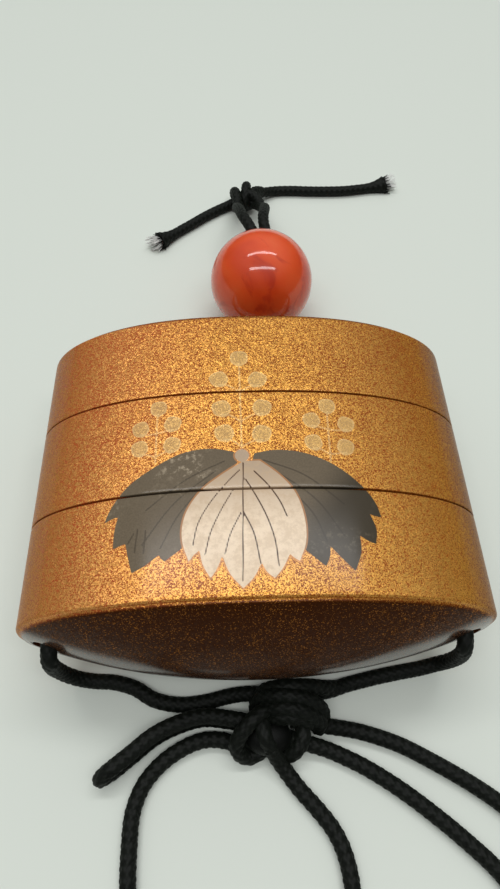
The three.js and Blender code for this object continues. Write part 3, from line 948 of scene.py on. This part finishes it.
def flakeGround(n, place, x, y, look):
    # gold flakes of two sizes over a red-brown ground
    flakes, specks = n.cells(place, look["flakes"]), n.cells(place, look["specks"])
    flake = n.add("ShaderNodeSeparateColor", Color=flakes.outputs["Color"])
    speck = n.add("ShaderNodeSeparateColor", Color=specks.outputs["Color"])
    # painted shade: the domed ends are painted darker, with fewer flakes
    ends = n.steps(n.most(y, n.times(y, -1.0)), 0.01895, 0.01945)
    blotch = n.noise(place, look["blotches"], 3.0, 0.6)
    thick = n.timesAdd(blotch, 0.16, n.timesAdd(ends, -0.38, 0.07))
    thick = n.timesAdd(n.noise(place, look["clouds"], 2.0), 0.18, thick)
    # painted light: away from the middle, more gold towards the near rim
    aside = n.times(n.steps(n.math("ABSOLUTE", x), 0.006, 0.018), n.remainder(ends))
    thick = n.timesAdd(aside, n.timesAdd(y, -3.5, 0.02), thick)
    drawn = n.timesAdd(speck.outputs[0], 0.4, n.times(flake.outputs[0], 0.6))
    gilt = n.steps(n.math("ADD", drawn, n.math("SUBTRACT", thick, 0.25)), 0.36, 0.54)
    leftward = n.steps(n.timesAdd(blotch, 0.01, x), 0.006, -0.016)
    ground = n.mix(leftward, look["groundRight"], look["groundLeft"])
    ground = n.mix(ends, ground, look["groundEndsShaded"])
    bright = n.mix(leftward, look["goldRight"], look["goldLeft"])
    gold = n.mix(ends, n.mix(speck.outputs[1], look["goldDim"], bright), look["goldEndsShaded"])
    body = n.mix(gilt, ground, gold)
    # painted shade: the narrow sides are darker, the right one most
    shade = n.times(n.steps(x, 0.0215, 0.0275), look["rightShade"])
    shade = n.most(shade, n.times(n.steps(x, -0.0225, -0.0275), look["leftShade"]))
    body = n.mix(n.times(shade, n.remainder(ends)), body, look["sides"])
    return body, gilt, ends, flakes.outputs["Color"], speck.outputs[2]


def paintBlossoms(n, body, grain, look):
    # steps are in mm from a petal's edge or a stem's middle
    petal, stem = n.attribute("petal"), n.attribute("stem")
    petalIn = n.steps(petal, -0.02, 0.06)
    rim = n.times(n.steps(petal, -0.12, -0.02), n.remainder(n.steps(petal, 0.06, 0.18)))
    line = n.most(n.steps(stem, -0.15, -0.09), rim)
    body = n.mix(n.times(petalIn, look["petalCover"]), body, n.mix(grain, *look["petals"]))
    return n.mix(n.times(line, look["lineCover"]), body, look["lines"]), petalIn


def paintSideLeaves(n, body, place, x, y, grain, look):
    worn = n.steps(n.noise(place, 1500.0, 4.0, 0.7), 0.50, 0.66)
    patch = n.steps(n.noise(place, 170.0, 2.0), 0.48, 0.62)
    dark = n.mix(grain, *look["dark"])
    # painted shade: the side leaves darken towards the right leaf's outer tip
    shade = n.steps(n.timesAdd(y, -0.8, x), 0.010, 0.017)
    dark = n.mix(n.times(shade, 0.85), dark, look["darkShade"])
    # most of the wear is on the left leaf's upper part
    leftTop = n.times(n.steps(x, 0.0, -0.004), n.steps(y, -0.010, -0.005))
    patch = n.times(patch, n.timesAdd(leftTop, 0.85, 0.15))
    dark = n.mix(n.times(n.times(worn, patch), 0.8), dark, look["darkWorn"])
    vein = n.steps(n.attribute("veinSide"), -0.14, -0.05)
    dark = n.mix(n.times(vein, 0.5), dark, look["darkVein"])
    sideIn = n.steps(n.attribute("leafSide"), -0.03, 0.04)
    return n.mix(sideIn, body, dark), sideIn


def paintMiddleLeaf(n, body, place, y, grain, look):
    middle = n.attribute("leafMiddle")
    trim = n.times(n.steps(middle, -0.22, -0.16), n.remainder(n.steps(middle, 0.0, 0.06)))
    body = n.mix(n.times(trim, look["trimCover"]), body, look["trim"])
    pale = n.mix(n.steps(y, -0.003, -0.012), *look["pale"])
    worn = n.steps(n.noise(place, 900.0, 4.0, 0.7), 0.42, 0.62)
    pale = n.mix(n.times(worn, 0.45), pale, look["paleWorn"])
    pale = n.mix(n.times(grain, 0.2), pale, look["paleGrain"])
    pale = n.mix(n.steps(n.attribute("veinMiddle"), -0.11, -0.05), pale, look["paleVein"])
    middleIn = n.steps(middle, -0.03, 0.04)
    return n.mix(middleIn, body, pale), middleIn


def tiltedNormal(n, colour, amount):
    # each flake lies at its own small tilt
    tilt = n.add("ShaderNodeVectorMath", operation="SUBTRACT")
    n.put(tilt.inputs[0], colour)
    tilt.inputs[1].default_value = (0.5, 0.5, 0.5)
    scaled = n.add("ShaderNodeVectorMath", operation="SCALE")
    n.put(scaled.inputs[0], tilt.outputs[0])
    n.put(scaled.inputs["Scale"], amount)
    normal = n.add("ShaderNodeVectorMath", operation="ADD")
    n.put(normal.inputs[0], scaled.outputs[0])
    n.put(normal.inputs[1], n.add("ShaderNodeNewGeometry").outputs["Normal"])
    unit = n.add("ShaderNodeVectorMath", operation="NORMALIZE")
    n.put(unit.inputs[0], normal.outputs[0])
    return unit.outputs[0]


def makeLacquerMaterial(look, leaves):
    n = Nodes("gold_lacquer")
    place = n.place()
    axes = n.add("ShaderNodeSeparateXYZ", Vector=place)
    x, y = axes.outputs["X"], axes.outputs["Y"]
    body, gilt, ends, flakeColour, speckShine = flakeGround(n, place, x, y, look)
    grain = n.noise(place, look["grain"], 2.0)
    body, petalIn = paintBlossoms(n, body, grain, look)
    body, sideIn = paintSideLeaves(n, body, place, x, y, grain, leaves)
    body, middleIn = paintMiddleLeaf(n, body, place, y, grain, leaves)
    bare = n.remainder(n.most(middleIn, sideIn))
    # the clear top coat on the ends has most of its gloss at a low angle
    facing = n.add("ShaderNodeLayerWeight", Blend=0.5).outputs["Facing"]
    lowest, rise = look["endCoat"]
    endGloss = n.timesAdd(n.steps(facing, 0.62, 0.76), rise, lowest)
    gloss = n.timesAdd(n.math("SUBTRACT", endGloss, look["coat"]), ends, look["coat"])
    n.set(Base_Color=body, Metallic=n.times(bare, n.times(gilt, n.timesAdd(petalIn, -0.45, 0.9))),
          Roughness=n.timesAdd(speckShine, 0.2, 0.34),
          Normal=tiltedNormal(n, flakeColour, n.times(bare, look["flakeTilt"])),
          Coat_Weight=gloss, Coat_Roughness=look["coatRoughness"], Coat_IOR=1.5,
          Specular_IOR_Level=0.06, Specular_Tint=(1.0, 0.55, 0.24, 1))
    return n.material


def seamRows(c):
    gap, seamEnd, rimEnd = c["seamGap"] / 2, c["seamEnd"], c["rimEnd"]
    lower, upper = c["lowerSeam"], c["upperSeam"]
    hollow, riser, recess = c["hollow"], c["riser"], c["recess"]
    outer = (c["halfWidth"], c["halfThickness"])
    bottom = innerDome(c["bottomRim"] + c["floor"], -1, hollow, c)
    bottom += [(1, 0, lower + c["riserHeight"], hollow), (1, 0, lower + c["riserHeight"], riser)]
    bottom += [(1, 0, lower - gap, riser), (1, c["seamRound"] * 2, lower - gap, outer)]
    bottom += seamCorner(lower - gap, 1, c)
    bottom += [(1, 0, y) for y in
               wallRows(c["bottomRim"] + rimEnd, lower - gap - seamEnd, *c["fineNear"], c)[::-1]]
    bottom += rimAndDome(c["bottomRim"], -1, c)
    floorTop = lower + c["recessDepth"] + c["floor"]
    middle = [(0, 0, floorTop, hollow), (0.5, 0, floorTop, hollow), (1, 0, floorTop, hollow)]
    middle += [(1, 0, upper + c["riserHeight"], hollow), (1, 0, upper + c["riserHeight"], riser)]
    middle += [(1, 0, upper - gap, riser), (1, c["seamRound"] * 2, upper - gap, outer)]
    middle += seamCorner(upper - gap, 1, c)
    middle += [(1, 0, y) for y in
               wallRows(lower + gap + seamEnd, upper - gap - seamEnd, *c["fineMiddle"], c)[::-1]]
    middle += seamCorner(lower + gap, -1, c)[::-1]
    middle += [(1, c["seamRound"] * 2, lower + gap, outer), (1, 0, lower + gap, recess)]
    ceiling = lower + c["recessDepth"]
    middle += [(1, 0, ceiling, recess), (0.5, 0, ceiling, recess), (0, 0, ceiling, recess)]
    lid = innerDome(c["topRim"] - c["floor"], 1, hollow, c)
    lid += [(1, 0, upper + c["recessDepth"], hollow), (1, 0, upper + c["recessDepth"], recess)]
    lid += [(1, 0, upper + gap, recess), (1, c["seamRound"] * 2, upper + gap, outer)]
    lid += seamCorner(upper + gap, -1, c)
    lid += [(1, 0, y) for y in
            wallRows(upper + gap + seamEnd, c["topRim"] - rimEnd, *c["fineFar"], c)]
    lid += rimAndDome(c["topRim"], 1, c)
    return {"bottom": bottom, "middle": middle, "lid": lid}


lacquer = makeLacquerMaterial(lacquerLook, leafLook)
for part, rows in seamRows(case).items():
    node = part if part == "lid" else f"{part}_case"
    shell = makeShell(f"{part}_lacquer", rows, case)
    cutChannels(shell, case)
    paintLayers(shell, case)
    shell.data.materials.clear()
    shell.data.materials.append(lacquer)
    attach(shell, "root")
    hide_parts(node)
    print("section made:", part, len(shell.data.polygons))

# floor, light and surroundings

studio = {
    "floorColour": (0.67, 0.71, 0.65),
    "worldColour": (0.97, 1.0, 0.985),
    "windowAim": (-0.02, 0.22, 0.975),     # towards the broad soft light
    "windowEdge": (0.3, 1.0),              # cosines between which it fades
    "dim": 0.10,
    "bright": 0.80,
    "floorHalf": 1.5,
    "strips": {"strip_near": (0.0, -0.19, 0.765), "strip_top": (0.0, 0.289, 0.76)},
    "stripAim": (0, 0.03, 0),
    "stripSize": (0.80, 0.07),
    "stripPower": 1.9,
}


def makeFloor(c):
    bm = bmesh.new()
    bmesh.ops.create_grid(bm, x_segments=2, y_segments=2, size=c["floorHalf"])
    mesh = bpy.data.meshes.new("table_top")
    bm.to_mesh(mesh)
    bm.free()
    floor = bpy.data.objects.new("table_top", mesh)
    bpy.context.collection.objects.link(floor)
    n = Nodes("table_paint")
    n.set(Base_Color=(*c["floorColour"], 1), Roughness=0.6)
    mesh.materials.append(n.material)


def areaLight(name, place, target, size, power):
    data = bpy.data.lights.new(name, "AREA")
    data.shape = "RECTANGLE"
    data.size, data.size_y = size
    data.energy = power
    light = bpy.data.objects.new(name, data)
    bpy.context.collection.objects.link(light)
    aim = (Vector(target) - Vector(place)).to_track_quat("-Z", "Y").to_matrix().to_4x4()
    light.matrix_world = Matrix.Translation(place) @ aim


def makeWorld(c):
    world = bpy.data.worlds.new("studio")
    bpy.context.scene.world = world
    world.use_nodes = True
    tree = world.node_tree
    back = tree.nodes["Background"]
    back.inputs[0].default_value = (*c["worldColour"], 1)
    toward = tree.nodes.new("ShaderNodeVectorMath")
    toward.operation = "DOT_PRODUCT"
    tree.links.new(tree.nodes.new("ShaderNodeTexCoord").outputs["Generated"], toward.inputs[0])
    toward.inputs[1].default_value = c["windowAim"]
    spread = tree.nodes.new("ShaderNodeMapRange")
    spread.interpolation_type = "SMOOTHSTEP"
    tree.links.new(toward.outputs["Value"], spread.inputs[0])
    for socket, value in zip(list(spread.inputs)[1:5], (*c["windowEdge"], c["dim"], c["bright"])):
        socket.default_value = value
    tree.links.new(spread.outputs[0], back.inputs[1])


makeFloor(studio)
makeWorld(studio)
for strip, place in studio["strips"].items():
    areaLight(strip, place, studio["stripAim"], studio["stripSize"], studio["stripPower"])
bpy.context.scene.view_settings.view_transform = "Standard"
print("stage set")
